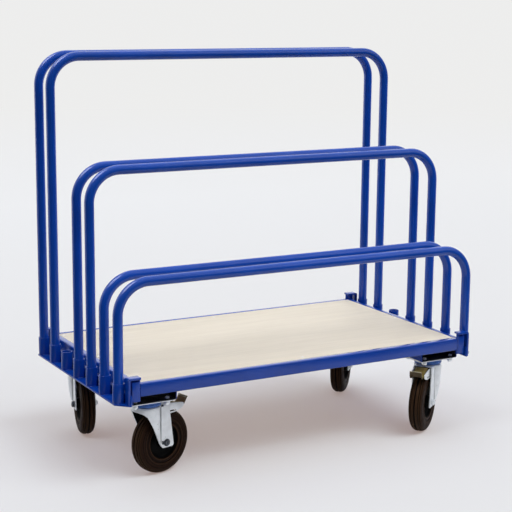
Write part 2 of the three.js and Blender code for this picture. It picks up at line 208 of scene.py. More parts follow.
class Edit:
    """Edit mode on one piece, with its points, edges and faces picked by their place."""

    MODES = {"verts": "VERT", "edges": "EDGE", "faces": "FACE"}

    def __init__(self, piece):
        self.piece = piece

    def __enter__(self):
        take(self.piece)
        bpy.ops.object.mode_set(mode="EDIT")
        return self

    def __exit__(self, *_):
        bpy.ops.object.mode_set(mode="OBJECT")

    def pick(self, kind, test):
        bpy.ops.mesh.select_mode(type=self.MODES[kind])
        bpy.ops.mesh.select_all(action="DESELECT")
        mesh = bmesh.from_edit_mesh(self.piece.data)
        found = [element for element in getattr(mesh, kind) if test(element)]
        if not found:
            raise RuntimeError(f"{self.piece.name}: no {kind} where they were looked for")
        for element in found:
            element.select_set(True)
        bmesh.update_edit_mesh(self.piece.data)

    def pick_all(self):
        bpy.ops.mesh.select_mode(type="VERT")
        bpy.ops.mesh.select_all(action="SELECT")

    def extrude(self, x=0, y=0, z=0):
        bpy.ops.mesh.extrude_region_move(TRANSFORM_OT_translate={"value": mm(x, y, z)})

    def inset(self, thickness, depth=0):
        bpy.ops.mesh.inset(thickness=thickness * MM, depth=depth * MM)

    def bevel(self, offset, segments=3):
        bpy.ops.mesh.bevel(offset=offset * MM, offset_type="OFFSET", segments=segments)

    def bisect(self, place, normal, cut=False):
        self.pick_all()
        bpy.ops.mesh.bisect(
            plane_co=mm(*place), plane_no=normal, use_fill=cut, clear_outer=cut
        )

    def spin(self, angle, middle, axis, steps):
        """Spin the selection; the operator turns against the right-hand rule."""
        bpy.ops.mesh.spin(steps=steps, angle=-angle, center=mm(*middle), axis=axis)

    def close_up(self):
        self.pick_all()
        bpy.ops.mesh.remove_doubles(threshold=0.01 * MM)
        bpy.ops.mesh.normals_make_consistent(inside=False)


def apply(piece, kind, **settings):
    """Add a modifier and apply it."""
    take(piece)
    made = piece.modifiers.new(kind.title(), kind)
    for key, value in settings.items():
        setattr(made, key, value)
    bpy.ops.object.modifier_apply(modifier=made.name)


def wall(piece, thickness):
    """Give a sheet its thickness, on its inner side."""
    with Edit(piece) as edit:
        edit.close_up()
    apply(piece, "SOLIDIFY", thickness=thickness * MM, offset=-1, use_even_offset=True)


def soften(piece, width=0.6, segments=2, angle=35):
    """Round the sharp edges a little and shade the rest smooth."""
    apply(
        piece,
        "BEVEL",
        width=width * MM,
        segments=segments,
        limit_method="ANGLE",
        angle_limit=math.radians(angle),
        use_clamp_overlap=True,
    )
    smooth(piece, angle)


def smooth(piece, angle=35):
    take(piece)
    bpy.ops.object.shade_smooth_by_angle(angle=math.radians(angle))


def joined(name, *pieces):
    take(*pieces)
    if len(pieces) > 1:
        bpy.ops.object.join()
    pieces[0].name = pieces[0].data.name = name
    return pieces[0]


def copied(piece, name, matrix):
    """A copy with its own mesh, moved in its mesh."""
    take(piece)
    bpy.ops.object.duplicate()
    copy = bpy.context.object
    copy.name = copy.data.name = name
    copy.data.transform(matrix)
    if matrix.determinant() < 0:
        with Edit(copy) as edit:
            edit.pick_all()
            bpy.ops.mesh.flip_normals()
    return copy


def discard(*pieces):
    for piece in pieces:
        bpy.data.objects.remove(piece)


def moved(x=0, y=0, z=0):
    return Matrix.Translation(mm(x, y, z))


def flipped(x=1, y=1, z=1):
    return Matrix.Diagonal((x, y, z, 1))


def fit(piece, body, finish, slot, *nodes):
    """Paint a piece and hand it to the frame: the body it moves with and the nodes it stands for."""
    piece.data.materials.clear()
    piece.data.materials.append(finish)
    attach(piece, body)
    if nodes:
        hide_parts(*nodes)
    return piece


# Finishes


class Value:
    """A shader socket that can be used in sums as a number."""

    def __init__(self, graph, socket):
        self.graph, self.socket = graph, socket

    def maths(self, operation, *values):
        settings = {"operation": operation}
        return self.graph.node("ShaderNodeMath", settings, dict(enumerate(values)))

    def __add__(self, other):
        return self.maths("ADD", self, other)

    def __radd__(self, other):
        return self.maths("ADD", other, self)

    def __sub__(self, other):
        return self.maths("SUBTRACT", self, other)

    def __rsub__(self, other):
        return self.maths("SUBTRACT", other, self)

    def __mul__(self, other):
        return self.maths("MULTIPLY", self, other)

    def __rmul__(self, other):
        return self.maths("MULTIPLY", other, self)


class Graph:
    """The nodes of one material or world."""

    def __init__(self, tree):
        self.tree = tree
        tree.nodes.clear()

    def node(self, kind, settings=None, inputs=None, output=0):
        made = self.tree.nodes.new(kind)
        for key, value in (settings or {}).items():
            setattr(made, key, value)
        for key, value in (inputs or {}).items():
            socket = made.inputs[key]
            if isinstance(value, Value):
                self.tree.links.new(value.socket, socket)
            elif socket.type == "RGBA":
                socket.default_value = (*value, 1)
            else:
                socket.default_value = value
        return Value(self, made.outputs[output]) if made.outputs else made

    def noise(self, scale, detail=3, stretch=(1, 1, 1), roughness=0.5):
        place = self.node("ShaderNodeTexCoord", output="Object")
        place = self.node("ShaderNodeMapping", inputs={"Vector": place, "Scale": stretch})
        inputs = {"Vector": place, "Scale": scale, "Detail": detail, "Roughness": roughness}
        return self.node("ShaderNodeTexNoise", inputs=inputs)

    def between(self, value, low, high):
        """0 at low, 1 at high and a straight line between."""
        inputs = {"Value": value, "From Min": low, "From Max": high}
        return self.node("ShaderNodeMapRange", inputs=inputs)

    def upward(self):
        """1 where the surface looks straight up."""
        normal = self.node("ShaderNodeNewGeometry", output="Normal")
        z = self.node("ShaderNodeSeparateXYZ", inputs={"Vector": normal}, output="Z")
        return self.between(z, 0.5, 1)

    def mix(self, factor, first, second):
        return self.node("ShaderNodeMix", {"data_type": "RGBA"}, {0: factor, 6: first, 7: second}, 2)

    def bump(self, height, strength, distance):
        inputs = {"Height": height, "Strength": strength, "Distance": distance * MM}
        return self.node("ShaderNodeBump", inputs=inputs)


def shade(colour, factor):
    return tuple(part * factor for part in colour)


def finish(name, recipe):
    """The material of that name, made from its recipe the first time."""
    made = bpy.data.materials.get(name)
    if made is None:
        made = bpy.data.materials.new(name)
        made.use_nodes = True
        graph = Graph(made.node_tree)
        surface = graph.node("ShaderNodeBsdfPrincipled", inputs=recipe(graph))
        graph.node("ShaderNodeOutputMaterial", inputs={"Surface": surface})
    return made


def paint(graph, blue):
    """Glossy powder coat: faint ripple and cloudiness, with a few rubbed streaks."""
    cloud = graph.noise(7, 2)
    colour = graph.mix(graph.between(cloud, 0.3, 0.7), shade(blue, 0.92), shade(blue, 1.08))
    rub = graph.between(graph.noise(60, 4, (1, 1, 0.12)), 0.68, 0.82)
    colour = graph.mix(rub * 0.08, colour, (0.08, 0.13, 0.36))
    return {
        "Base Color": colour,
        "Roughness": 0.16 + rub * 0.12 + cloud * 0.05,
        "Normal": graph.bump(graph.noise(300, 1), 0.02, 0.3),
    }


def frame_paint_recipe(graph):
    return paint(graph, colours().blue_paint)


def hoop_paint_painted_lighter_recipe(graph):
    return paint(graph, colours().hoop_paint)


def painted_shade_recipe(graph):
    """Dark primer and grease inside channels and forks, with some dust."""
    dust = graph.between(graph.noise(30, 3), 0.55, 0.8)
    return {
        "Base Color": graph.mix(dust * 0.5, (0.003, 0.003, 0.006), (0.012, 0.011, 0.013)),
        "Roughness": 0.7 + dust * 0.15,
    }


def deck_board_recipe(graph):
    """Pale plywood: long soft figure and fine fibres along the deck."""
    cream = colours().deck_board
    figure = graph.noise(5, 4, (0.35, 3.2, 1), 0.6)
    fibre = graph.noise(60, 3, (0.06, 3, 1), 0.65)
    pores = graph.between(graph.noise(210, 2, (0.05, 2, 1)), 0.62, 0.8)
    colour = graph.mix(graph.between(figure, 0.32, 0.68), shade(cream, 0.95), shade(cream, 1.035))
    colour = graph.mix(graph.between(fibre, 0.35, 0.75) * 0.3, colour, (0.62, 0.53, 0.42))
    colour = graph.mix(pores * 0.28, colour, (0.42, 0.33, 0.24))
    return {
        "Base Color": colour,
        "Roughness": 0.5 + fibre * 0.16,
        "Specular IOR Level": 0.3,
        "Normal": graph.bump(fibre - pores * 0.6, 0.12, 0.25),
    }


def zinc_recipe(graph):
    """Bright zinc plate: cloudy sheen, fine draw lines and specks of dirt."""
    zinc = colours().zinc
    cloud = graph.noise(38, 3)
    lines = graph.noise(300, 2, (1, 1, 0.08))
    speck = graph.between(graph.noise(170, 2), 0.69, 0.76)
    colour = graph.mix(graph.between(cloud, 0.3, 0.7), shade(zinc, 0.9), shade(zinc, 1.06))
    colour = graph.mix(speck * 0.55, colour, (0.14, 0.12, 0.10))
    return {
        "Base Color": colour,
        "Metallic": 0.6 - speck * 0.4,
        "Roughness": 0.34 + cloud * 0.16 + lines * 0.08,
        "Normal": graph.bump(lines, 0.05, 0.2),
    }


def swivel_blue_recipe(graph):
    """Blue passivated swivel head, with a slight cast of colour."""
    blue = colours().swivel_ring
    cloud = graph.noise(55, 3)
    colour = graph.mix(graph.between(cloud, 0.3, 0.7), shade(blue, 0.8), shade(blue, 1.2))
    return {
        "Base Color": colour,
        "Metallic": 0.35,
        "Roughness": 0.3 + cloud * 0.14,
        "Normal": graph.bump(graph.noise(500, 2), 0.05, 0.2),
    }


def rubber_recipe(graph):
    """Brown-black rubber, with dust on its raised rings and a bloom in clouds."""
    rubber = colours().tyre
    bloom = graph.between(graph.noise(26, 4), 0.42, 0.72)
    dust = graph.node("ShaderNodeAttribute", {"attribute_name": "dust"}, output="Fac")
    ring = graph.mix(graph.between(dust, 0, 0.4), shade(rubber, 0.25), rubber)
    dust_and_highlight = (rubber[0] * 4.4, rubber[1] * 6.6, rubber[2] * 7.2)
    ring = graph.mix(graph.between(dust, 0.4, 1) * (0.6 + bloom * 0.4), ring, dust_and_highlight)
    return {
        "Base Color": graph.mix(bloom * 0.25, ring, shade(rubber, 1.6)),
        "Roughness": 0.5 + bloom * 0.2,
        "Specular IOR Level": 0.08,
        "Normal": graph.bump(graph.noise(900, 2), 0.12, 0.2),
    }


def wheel_black_recipe(graph):
    """Black moulded plastic with a fine grain."""
    black = colours().wheel_centre
    cloud = graph.noise(40, 3)
    return {
        "Base Color": graph.mix(cloud, shade(black, 0.7), shade(black, 1.5)),
        "Roughness": 0.38 + cloud * 0.16,
        "Specular IOR Level": 0.06,
        "Normal": graph.bump(graph.noise(800, 2), 0.1, 0.2),
    }


def olive_recipe(graph):
    """Olive passivated steel, with its yellow and green cast in clouds."""
    olive = colours().brake_pedal
    cloud = graph.noise(70, 3)
    brown = (olive[0], olive[1] * 0.82, olive[2] * 0.9)
    cast = graph.mix(graph.between(cloud, 0.35, 0.65), brown, shade(olive, 1.1))
    rub = graph.between(graph.noise(140, 3), 0.6, 0.75)
    return {
        "Base Color": graph.mix(rub * 0.3, cast, (0.34, 0.3, 0.16)),
        "Metallic": 0.3,
        "Roughness": 0.36 + cloud * 0.15,
        "Normal": graph.bump(graph.noise(420, 2), 0.06, 0.2),
    }


def tip_highlight_recipe(graph):
    """The pedal's tip, rubbed bright by shoes."""
    cloud = graph.noise(220, 3)
    return {
        "Base Color": graph.mix(cloud, (0.46, 0.40, 0.24), (0.72, 0.66, 0.48)),
        "Metallic": 0.1,
        "Roughness": 0.3 + cloud * 0.12,
    }


def dark_steel_and_shadow_recipe(graph):
    """Blackened nuts with a little shine."""
    cloud = graph.noise(180, 3)
    return {
        "Base Color": graph.mix(cloud, (0.03, 0.035, 0.045), (0.11, 0.12, 0.14)),
        "Metallic": 0.7,
        "Roughness": 0.34 + cloud * 0.16,
    }


def crease_shade_recipe(graph):
    """Zinc in the pressed crease, dulled by dirt."""
    shaded_zinc = shade(colours().zinc, 0.52)
    cloud = graph.noise(60, 3)
    return {
        "Base Color": graph.mix(cloud, shade(shaded_zinc, 0.8), shade(shaded_zinc, 1.2)),
        "Metallic": 0.7,
        "Roughness": 0.5 + cloud * 0.15,
    }


def bolt_recipe(graph):
    """Bright fastener steel with darker clouds."""
    zinc = colours().zinc
    cloud = graph.noise(160, 3)
    return {
        "Base Color": graph.mix(cloud, shade(zinc, 0.85), shade(zinc, 1.25)),
        "Metallic": 0.95,
        "Roughness": 0.26 + cloud * 0.16,
    }


def glint_head_recipe(graph):
    """Bright plated bolt heads, which catch what light there is in the channel."""
    cloud = graph.noise(160, 3)
    return {
        "Base Color": graph.mix(cloud, (0.9, 0.91, 0.93), (0.97, 0.97, 0.98)),
        "Metallic": 0.0,
        "Roughness": 0.35 + cloud * 0.1,
    }


def shaded_olive_recipe(graph):
    """Olive passivation on the pedal's upturned face, browner and darker."""
    olive = colours().brake_pedal
    brown = (olive[0] * 0.3, olive[1] * 0.23, olive[2] * 0.3)
    cloud = graph.noise(80, 3)
    return {
        "Base Color": graph.mix(cloud, shade(brown, 0.7), shade(brown, 1.3)),
        "Metallic": 0.2,
        "Roughness": 0.42 + cloud * 0.14,
    }


def lightened_brown_recipe(graph):
    """The shoe's side of the pedal's tip, where the olive is rubbed to a brown."""
    cloud = graph.noise(90, 3)
    return {
        "Base Color": graph.mix(cloud, (0.30, 0.18, 0.075), (0.46, 0.30, 0.14)),
        "Metallic": 0.15,
        "Roughness": 0.45 + cloud * 0.15,
    }


def blue_paint():
    return finish("Gloss blue powder coat", frame_paint_recipe)


def hoop_paint():
    return finish("Gloss blue powder coat on hoops", hoop_paint_painted_lighter_recipe)


def zinc():
    return finish("Zinc plate", zinc_recipe)


def bolt_steel():
    return finish("Fastener steel", bolt_recipe)


# Settings


def colour_setting(name, colour):
    return bpy.props.FloatVectorProperty(
        name=name,
        description=f"Base colour of the {name.lower()}",
        subtype="COLOR",
        size=3,
        min=0,
        max=1,
        default=colour,
    )


class CartColours(bpy.types.PropertyGroup):
    """Base colours of the cart's finishes."""

    blue_paint: colour_setting("Blue Paint", (0.003, 0.052, 0.38))
    # The hoops' blue is painted lighter than the frame's blue: painted light for the extra light the
    # hoops catch.
    hoop_paint: colour_setting("Hoop Paint", (0.003, 0.068, 0.46))
    deck_board: colour_setting("Deck Board", (0.87, 0.795, 0.66))
    zinc: colour_setting("Zinc", (0.87, 0.90, 0.93))
    swivel_ring: colour_setting("Swivel Ring", (0.052, 0.14, 0.43))
    tyre: colour_setting("Tyre", (0.015, 0.0055, 0.0026))
    wheel_centre: colour_setting("Wheel Centre", (0.002, 0.002, 0.002))
    brake_pedal: colour_setting("Brake Pedal", (0.26, 0.215, 0.06))
    floor: colour_setting("Floor", (0.79, 0.79, 0.805))
    floor_glow: colour_setting("Floor Glow", (0.29, 0.22, 0.20))
    backdrop: colour_setting("Backdrop", (0.85, 0.85, 0.845))


class CartSizes(bpy.types.PropertyGroup):
    """Sizes of details that the frame leaves open."""

    tube_sides: bpy.props.IntProperty(
        name="Tube Sides", description="Sides of a round tube", default=36, min=12, max=96
    )
    wheel_steps: bpy.props.IntProperty(
        name="Wheel Steps", description="Steps round a wheel", default=96, min=24, max=192
    )
    edge: bpy.props.FloatProperty(
        name="Edge Round", description="Rounding of sheet edges", default=0.0006, unit="LENGTH"
    )
    weld: bpy.props.FloatProperty(
        name="Weld Bead", description="Radius of a weld bead", default=0.0019, unit="LENGTH"
    )
    lens: bpy.props.FloatProperty(
        name="Lens", description="Focal length of the camera", default=94.51, unit="CAMERA"
    )


def colours():
    return bpy.context.scene.cart_colours


def sizes():
    return bpy.context.scene.cart_sizes


# Deck frame and board


def folded_rail(name, half, face, across):
    """A rail along X or Y whose outer face lies at -face, with its flange, shelf and inner leg."""
    along = "y" if across == "x" else "x"
    pairs = {along: (-half, half), across: (-face, -face), "z": (FRAME_UNDER, DECK_TOP)}
    piece = panel(name, pairs["x"], pairs["y"], pairs["z"])
    inner = -face + RAIL_SHELF
    with Edit(piece) as edit:
        edit.pick("edges", on(z=DECK_TOP))
        edit.extrude(**{across: RAIL_FLANGE})
        edit.pick("edges", on(z=FRAME_UNDER))
        edit.extrude(**{across: RAIL_FLANGE})
        if across == "x":
            for y in (-SIDE_Y + RAIL_SHELF, SIDE_Y - RAIL_SHELF):
                edit.bisect((0, y, 0), (0, 1, 0))
        reach = SIDE_Y - RAIL_SHELF + 0.1 if across == "x" else END_X
        shelf_edge = on(z=FRAME_UNDER, **{across: -face + RAIL_FLANGE})
        near = lambda edge: all(abs(v.co["xyz".index(along)]) < reach * MM for v in edge.verts)
        edit.pick("edges", lambda edge: shelf_edge(edge) and near(edge))
        edit.extrude(**{across: RAIL_SHELF - RAIL_FLANGE})
        edit.extrude(z=PANEL_UNDER - FRAME_UNDER)
        folds = [
            on(z=DECK_TOP, **{across: -face}),
            on(z=FRAME_UNDER, **{across: -face}),
            on(z=FRAME_UNDER, **{across: inner}),
        ]
        edit.pick("edges", either(*folds))
        edit.bevel(RAIL_BEND, 5)
    wall(piece, RAIL_SHEET)
    soften(piece, 0.5)
    return piece


def make_deck_frame():
    front = folded_rail("front_rail_fold", POST_IN, SIDE_Y, "y")
    left = folded_rail("left_end_rail_fold", POST_FACE - POST_DEPTH, END_X, "x")
    rear = copied(front, "rear_rail_fold", flipped(y=-1))
    right = copied(left, "right_end_rail_fold", flipped(x=-1))
    for piece in (front, left, rear, right):
        fit(piece, "chassis", blue_paint(), "blue_paint", piece.name.removesuffix("_fold"))


def make_deck_board():
    x, y = END_X - RAIL_FLANGE - PANEL_GAP, SIDE_Y - RAIL_FLANGE - PANEL_GAP
    board = block("deck_board", (-x, x), (-y, y), (PANEL_UNDER, DECK_TOP))
    soften(board, 0.8)
    wood = finish("Pale plywood", deck_board_recipe)
    fit(board, "chassis", wood, "deck_board", "deck_panel")
    pattern = screw_pattern()
    line_x, line_y = END_X - RAIL_SHELF + 8, SIDE_Y - RAIL_SHELF - 1
    places = [(sx * line_x, sy * line_y) for sx in (-1, 0, 1) for sy in (-1, 0, 1) if sx or sy]
    screws = [
        copied(pattern, f"screw_{number}", moved(*place)) for number, place in enumerate(places)
    ]
    discard(pattern)
    fit(joined("deck_screws", *screws), "chassis", bolt_steel(), "zinc")


def screw_pattern():
    """A countersunk screw head with a six-sided socket."""
    screw = drum("screw", 4.2, DECK_TOP - 2.4, DECK_TOP + 0.15, sides=24)
    with Edit(screw) as edit:
        top = on(z=DECK_TOP + 0.15)
        edit.pick("faces", top)
        edit.inset(2.3)
        edit.extrude(z=-1.2)
    soften(screw, 0.2)
    return screw


# Posts, ledges and sockets


def post_pattern():
    """The rear right post: a strip folded double round a narrow gap."""
    bend = POST_DEPTH / 2
    x, y = POST_IN + bend, POST_FACE - bend
    piece = panel("post", (x, POST_OUT), (POST_FACE, POST_FACE), (POST_FOOT, POST_TOP))
    with Edit(piece) as edit:
        edit.bisect((0, 0, POST_LIP), (0, 0, 1))
        edit.pick("edges", on(x=x))
        edit.spin(math.pi, (x, y, 0), (0, 0, 1), 10)
        edit.pick("edges", on(x=x, y=POST_FACE - POST_DEPTH))
        edit.extrude(x=POST_OUT - x)
        front = on(y=POST_FACE)
        edit.pick(
            "faces", lambda face: front(face) and face.calc_center_median().z > POST_LIP * MM
        )
        bpy.ops.mesh.delete(type="FACE")
    wall(piece, POST_SHEET)
    soften(piece, 0.6)
    return piece


def make_corner_posts():
    pattern = post_pattern()
    for side_name, side in SIDES.items():
        for end_name, end in ENDS.items():
            node = f"{side_name}_{end_name}_post"
            post = copied(pattern, node + "_fold", flipped(end, side))
            fit(post, "chassis", blue_paint(), "blue_paint", node)
    discard(pattern)


def ledge_angle():
    """The right ledge's angle, with the free corners of its shelf cut off."""
    end = (-LEDGE_END, LEDGE_END)
    piece = block("angle", (LEDGE_IN, SHELF_OUT), end, (LEDGE_UNDER, SHELF_TOP))
    with Edit(piece) as edit:
        edit.bisect((LEDGE_OUT, 0, 0), (1, 0, 0))
        top = on(z=SHELF_TOP)
        edit.pick("faces", lambda f: top(f) and f.calc_center_median().x < LEDGE_OUT * MM)
        edit.extrude(z=LEDGE_TOP - SHELF_TOP)
        for side in (-1, 1):
            normal = (LEDGE_CHAMFER, side * (SHELF_OUT - LEDGE_OUT), 0)
            edit.bisect((LEDGE_OUT + 0.01, side * LEDGE_END, 0), normal, cut=True)
    soften(piece, 0.9)
    return piece


def hook_pattern(side):
    """A hook of the right ledge: a flat bar that stands up and bends in over the post."""
    wide = (side * HOOK_NEAR, side * HOOK_FAR)
    piece = block("hook", (HOOK_BACK, HOOK_OUT), wide, (LEDGE_UNDER + 1, HOOK_TOP))
    with Edit(piece) as edit:
        edit.bisect((0, 0, POST_TOP), (0, 0, 1))
        back = on(x=HOOK_BACK)
        edit.pick("faces", lambda f: back(f) and f.calc_center_median().z > POST_TOP * MM)
        edit.extrude(x=HOOK_IN - HOOK_BACK)
        edit.pick("edges", on(x=HOOK_OUT, z=HOOK_TOP))
        edit.bevel(6, 5)
        edit.pick("edges", on(x=HOOK_BACK, z=POST_TOP))
        edit.bevel(1.5, 3)
    soften(piece, 0.7)
    return piece


def make_end_ledges():
    right = joined("ledge", ledge_angle(), hook_pattern(-1), hook_pattern(1))
    for name, end in ENDS.items():
        ledge = copied(right, f"{name}_ledge_angle", flipped(end))
        fit(ledge, "chassis", blue_paint(), "blue_paint", f"{name}_ledge")
    discard(right)


def socket_pattern():
    """A short open tube with rounded rims."""
    socket = drum("socket", SOCKET_RADIUS, SHELF_TOP, SOCKET_TOP, sides=sizes().tube_sides)
    with Edit(socket) as edit:
        edit.pick("faces", on(z=SOCKET_TOP))
        edit.inset(SOCKET_RADIUS - SOCKET_BORE)
        edit.extrude(z=SHELF_TOP + 0.6 - SOCKET_TOP)
    soften(socket, 0.7, 3)
    return socket


def weld_pattern():
    """Two rippled beads at the foot of a socket, on its left and right."""
    bead = sizes().weld / MM
    radius = SOCKET_RADIUS + 0.2
    beads = []
    for start_angle in (-125, 55):
        rows = []
        steps = 28
        for step in range(steps + 1):
            angle = math.radians(start_angle + 70 * step / steps)
            ends = min(1, 6 * min(step, steps - step) / steps)
            size = bead * (0.25 + 0.75 * ends) * (1 + 0.13 * math.cos(step * math.pi))
            ring = []
            for corner in range(9):
                turn = 2 * math.pi * corner / 8
                out = radius + size * math.cos(turn)
                place = (out * math.cos(angle), out * math.sin(angle))
                ring.append((*place, SHELF_TOP + 0.3 + size * math.sin(turn)))
            rows.append(ring)
        piece = sheet("bead", rows)
        with Edit(piece) as edit:
            edit.close_up()
        beads.append(piece)
    weld = joined("weld", *beads)
    with Edit(weld):
        bpy.ops.mesh.select_all(action="DESELECT")
        bpy.ops.mesh.select_non_manifold()
        bpy.ops.mesh.edge_face_add()
    with Edit(weld) as edit:
        edit.close_up()
    smooth(weld, 60)
    return weld


def make_sockets():
    socket, weld = socket_pattern(), weld_pattern()
    for name, end in ENDS.items():
        for number in range(1, 8):
            node = f"socket_{name}_{number}"
            place = moved(end * HOOP_X, (number - 4) * SLOT_PITCH)
            tube = copied(socket, node + "_tube", place)
            fit(tube, "chassis", blue_paint(), "blue_paint", node)
            bead = copied(weld, node + "_weld", place)
            fit(bead, "chassis", blue_paint(), "blue_paint")
    discard(socket, weld)


# Hoops


def hoop_pattern(name, top):
    """A bent tube: up one leg, round a bend, across and down the other leg."""
    foot, bend = SHELF_TOP + 0.3, top - BEND_RADIUS
    start_place = mm(-HOOP_X, 0, foot)
    sides = sizes().tube_sides
    hoop = start(name, "circle", vertices=sides, radius=TUBE_RADIUS * MM, location=start_place)
    inner = HOOP_X - BEND_RADIUS
    with Edit(hoop) as edit:
        edit.pick_all()
        edit.extrude(z=bend - foot)
        edit.spin(math.pi / 2, (-inner, 0, bend), (0, 1, 0), 18)
        edit.extrude(x=2 * inner)
        edit.spin(math.pi / 2, (inner, 0, bend), (0, 1, 0), 18)
        edit.extrude(z=foot - bend)
    wall(hoop, TUBE_WALL)
    smooth(hoop, 50)
    return hoop


def make_hoops():
    for height, top in HOOP_TOPS.items():
        pattern = hoop_pattern("hoop", top)
        for place in ("front", "rear"):
            node = f"hoop_{height}_{place}"
            slot = HOOP_SLOTS[f"{height}_{place}"]
            tube = copied(pattern, node + "_tube", moved(y=slot * SLOT_PITCH))
            # Hoops get the lighter blue, as painted light.
            fit(tube, node, hoop_paint(), "blue_paint", node)
        discard(pattern)


# Channels and caster plates


def make_cross_channels():
    wide = (-CHANNEL_HALF, CHANNEL_HALF)
    long = (-CHANNEL_END, CHANNEL_END)
    pattern = panel("channel", wide, long, (CHANNEL_UNDER, CHANNEL_UNDER))
    with Edit(pattern) as edit:
        for side in (-1, 1):
            edit.pick("edges", on(x=side * CHANNEL_HALF, z=CHANNEL_UNDER))
            edit.extrude(z=FRAME_UNDER - CHANNEL_UNDER)
        edges = [on(x=side * CHANNEL_HALF, z=CHANNEL_UNDER) for side in (-1, 1)]
        edit.pick("edges", either(*edges))
        edit.bevel(4, 4)
    wall(pattern, CHANNEL_SHEET)
    soften(pattern, 0.5)
    for name, end in ENDS.items():
        channel = copied(pattern, f"{name}_channel_fold", moved(end * CHANNEL_X))
        fit(channel, "chassis", blue_paint(), "blue_paint", f"{name}_cross_channel")
        # The inside of each channel gets a painted shade.
        paint_channel_shade(channel, end * CHANNEL_X)
    discard(pattern)


def repaint(piece, second, test):
    """Give the faces that pass the test a second finish."""
    piece.data.materials.append(second)
    with Edit(piece) as edit:
        edit.pick("faces", test)
        piece.active_material_index = len(piece.data.materials) - 1
        bpy.ops.object.material_slot_assign()


# A near-black finish that stands for the shade in hollows: painted shade.
def painted_shade():
    return finish("Dark inside", painted_shade_recipe)


def paint_channel_shade(channel, middle):
    """Give the inner faces of a channel their dark finish."""
    inner = CHANNEL_HALF - CHANNEL_SHEET + 0.1

    def inside(face):
        x, y, z = face.calc_center_median() / MM
        low = CHANNEL_UNDER + CHANNEL_SHEET
        end = abs(y) > CHANNEL_END - 0.6 and z < low + 1
        return abs(x - middle) < inner and (end or z > low - 0.1)

    repaint(channel, painted_shade(), inside)


def bolt_pattern():
    """A caster bolt: a low round head in the channel, washer and nut under the plate."""
    seat = CHANNEL_UNDER + CHANNEL_SHEET
    head = drum("head", 6.5, seat, seat + BOLT_HEAD, sides=28)
    with Edit(head) as edit:
        edit.pick("edges", on(z=seat + BOLT_HEAD))
        edit.bevel(3, 4)
    smooth(head)
    washer = drum("washer", 9, PLATE_UNDER - 2, PLATE_UNDER - 0.1, sides=28)
    nut = drum("nut", 9, PLATE_UNDER - 9.5, PLATE_UNDER - 2, sides=6)
    shank = drum("shank", 4.8, PLATE_UNDER - 12, seat, sides=20)
    soften(nut, 0.8, 3)
    for part in (washer, shank):
        soften(part, 0.5)
    return joined("bolt", head, washer, nut, shank)


def bolt_head(face):
    return face.calc_center_median().z > (CHANNEL_UNDER + CHANNEL_SHEET) * MM


def make_caster_plates():
    x, y = PLATE_HALF_X, PLATE_HALF_Y
    plate = block("plate", (-x, x), (-y, y), (PLATE_UNDER, CHANNEL_UNDER))
    with Edit(plate) as edit:
        upright = lambda edge: abs(edge.verts[0].co.z - edge.verts[1].co.z) > MM
        edit.pick("edges", upright)
        edit.bevel(PLATE_CORNER, 6)
    soften(plate, 0.7)
    bolt = bolt_pattern()
    for name, (end, side, _, _) in CASTERS.items():
        place = moved(end * CASTER_X, side * CASTER_Y)
        piece = copied(plate, f"{name}_mount_plate", place)
        pin = kingpin(f"{name}_kingpin", place)
        fit(piece, "chassis", zinc(), "zinc", f"{name}_top_plate")
        fit(pin, "chassis", bolt_steel(), "zinc")
        bolts = [
            copied(bolt, f"{name}_bolt", place @ moved(sx * BOLT_X + end * BOLT_OUTWARD, sy * BOLT_Y))
            for sx in (-1, 1)
            for sy in (-1, 1)
        ]
        bolts = fit(joined(f"{name}_plate_bolts", *bolts), "chassis", bolt_steel(), "zinc")
        # The bolt heads in the channel get a painted highlight.
        repaint(bolts, finish("Pale bolt head", glint_head_recipe), bolt_head)
    discard(plate, bolt)


def kingpin(name, place):
    """The riveted pin that the fork hangs on, seen from below."""
    pin = turned(
        "pin",
        [(0, 210.5), (10, 210.5), (13, 212), (14, 213.5), (14, 215.2), (8, 215.4), (8, 240), (0, 240)],
        32,
    )
    smooth(pin)
    piece = copied(pin, name, place)
    discard(pin)
    return piece


def make_swivel_rings():
    section = [
        (10, 222.2),
        (41, 222.2),
        (41.4, 224.2),
        (44.8, 224.4),
        (46, 225.4),
        (46, 229.6),
        (45.2, 230.8),
        (43.6, 231.2),
        (43, 232),
        (43, 238.6),
        (44.2, 239.8),
        (10, 239.8),
    ]
    pattern = turned("ring", section, 72)
    smooth(pattern, 30)
    colour = finish("Blue swivel head", swivel_blue_recipe)
    for name, (end, side, _, _) in CASTERS.items():
        ring = copied(pattern, f"{name}_swivel_head", moved(end * CASTER_X, side * CASTER_Y))
        fit(ring, "chassis", colour, "swivel_ring", f"{name}_swivel_ring")
    discard(pattern)


# Forks, wheels and brakes


def caster_matrix(name):
    end, side, heading, _ = CASTERS[name]
    turn = Matrix.Rotation(math.radians(heading), 4, "Z")
    return moved(end * CASTER_X, side * CASTER_Y) @ turn


CROWN_TOP, CROWN_RADIUS, CROWN_BEND = 221.4, 46, 6
LEG_FACE, LEG_CREASE, LEG_FOOT, LEG_CORNER = 33.3, 31.7, 85, 8
CREASE_START, CREASE_END, CREASE_DEPTH = 19, 30.6, 4.5
FORK_SHEET = 3.5
# The web's lower edge, as places along the caster and heights
WEB_EDGE = [
    (-46, 208),
    (-44, 207.5),
    (-34, 203),
    (-25, 194),
    (-17, 179),
    (-7, 160),
    (2.4, 140),
    (10.7, 122),
    (22, 102),
    (31.7, 91),
]


def follow(points, x):
    """Height at x on a line through points."""
    for (x0, z0), (x1, z1) in zip(points, points[1:]):
        if x <= x1:
            return z0 + (z1 - z0) * max(0, x - x0) / (x1 - x0)
    return points[-1][1]


def leg_back(z):
    """The leg's trailing edge, which leans back towards the foot."""
    return 62 + 18 * (CROWN_TOP - z) / (CROWN_TOP - LEG_FOOT)


